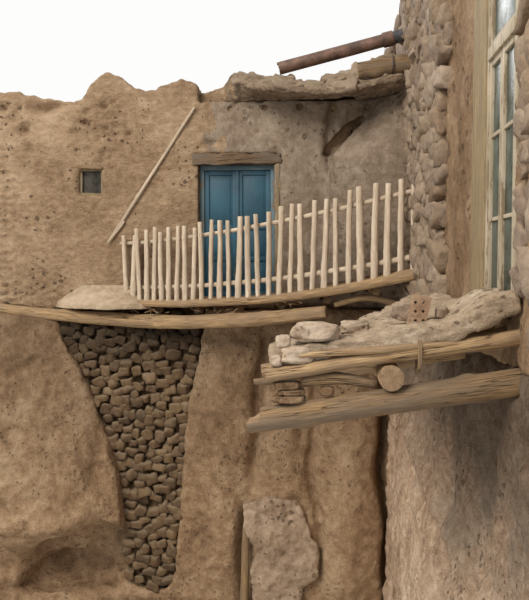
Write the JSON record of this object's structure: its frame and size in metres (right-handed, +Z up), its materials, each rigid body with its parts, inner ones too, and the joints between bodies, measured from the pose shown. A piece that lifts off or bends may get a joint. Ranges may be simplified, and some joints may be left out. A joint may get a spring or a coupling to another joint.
{
  "type": "adobe house",
  "caption": "Mud-walled cliff house with a stick-railed balcony, blue double door, stone wing with a tall window, broken timber ledge and flat earth roofs.",
  "frame": {"origin": "middle of the bounding box of the L-shaped plan, at ground level", "axes": "+X along the main front towards the wing, +Y from the front into the hill, +Z up"},
  "size_m": [8.5, 10.1, 7.95],
  "materials": {
    "mud_plaster": "matte",
    "rock": "matte",
    "rubble": "matte",
    "timber": "matte",
    "pale_timber": "matte",
    "door_paint": "satin",
    "cream_paint": "satin",
    "glass": "gloss",
    "pipe_metal": "satin"
  },
  "bodies": {
    "root": {"plaster_patch": "mud_plaster", "main_floor": "mud_plaster", "front_wall": "mud_plaster", "door_head_wall": "mud_plaster", "porch_wall": "mud_plaster", "corner_plaster": "mud_plaster", "end_wall": "mud_plaster", "back_wall": "mud_plaster", "roof_mud": "mud_plaster", "eave_mud": "mud_plaster", "balcony_deck": "mud_plaster", "clay_slab": "mud_plaster", "wing_plaster_pier": "mud_plaster", "wing_floor": "mud_plaster", "wing_roof_mud": "mud_plaster", "ledge_mud": "mud_plaster", "clay_brick": "mud_plaster", "rock_left": "rock", "rock_middle": "rock", "rock_core": "rock", "wing_base": "rock", "stone_infill": "rubble", "wing_stone_wall": "rubble", "wing_sill_wall": "rubble", "wing_head_wall": "rubble", "wing_corner_pier": "rubble", "wing_south_wall": "rubble", "wing_east_wall": "rubble", "wing_north_wall": "rubble", "ledge_stones": "rubble", "lower_post": "timber", "door_lintel": "timber", "small_window_frame": "timber", "roof_poles": "timber", "eave_poles": "timber", "eave_log": "timber", "balcony_joists": "timber", "balcony_branch": "timber", "balcony_front_log": "timber", "balcony_edge_log": "timber", "leaning_pole": "timber", "wing_roof_poles": "timber", "window_jamb": "timber", "ledge_near_log": "timber", "ledge_far_log": "timber", "ledge_cross_log": "timber", "ledge_poles": "timber", "ledge_packing": "timber", "railing_sticks": "pale_timber", "railing_rails": "pale_timber", "door_frame": "door_paint", "door_leaf_left": "door_paint", "door_leaf_right": "door_paint", "window_frame": "cream_paint", "window_sashes": "cream_paint", "small_window_pane": "glass", "window_glass": "glass", "stove_pipe": "pipe_metal", "stove_pipe_collar": "pipe_metal"}
  },
  "joints": []
}
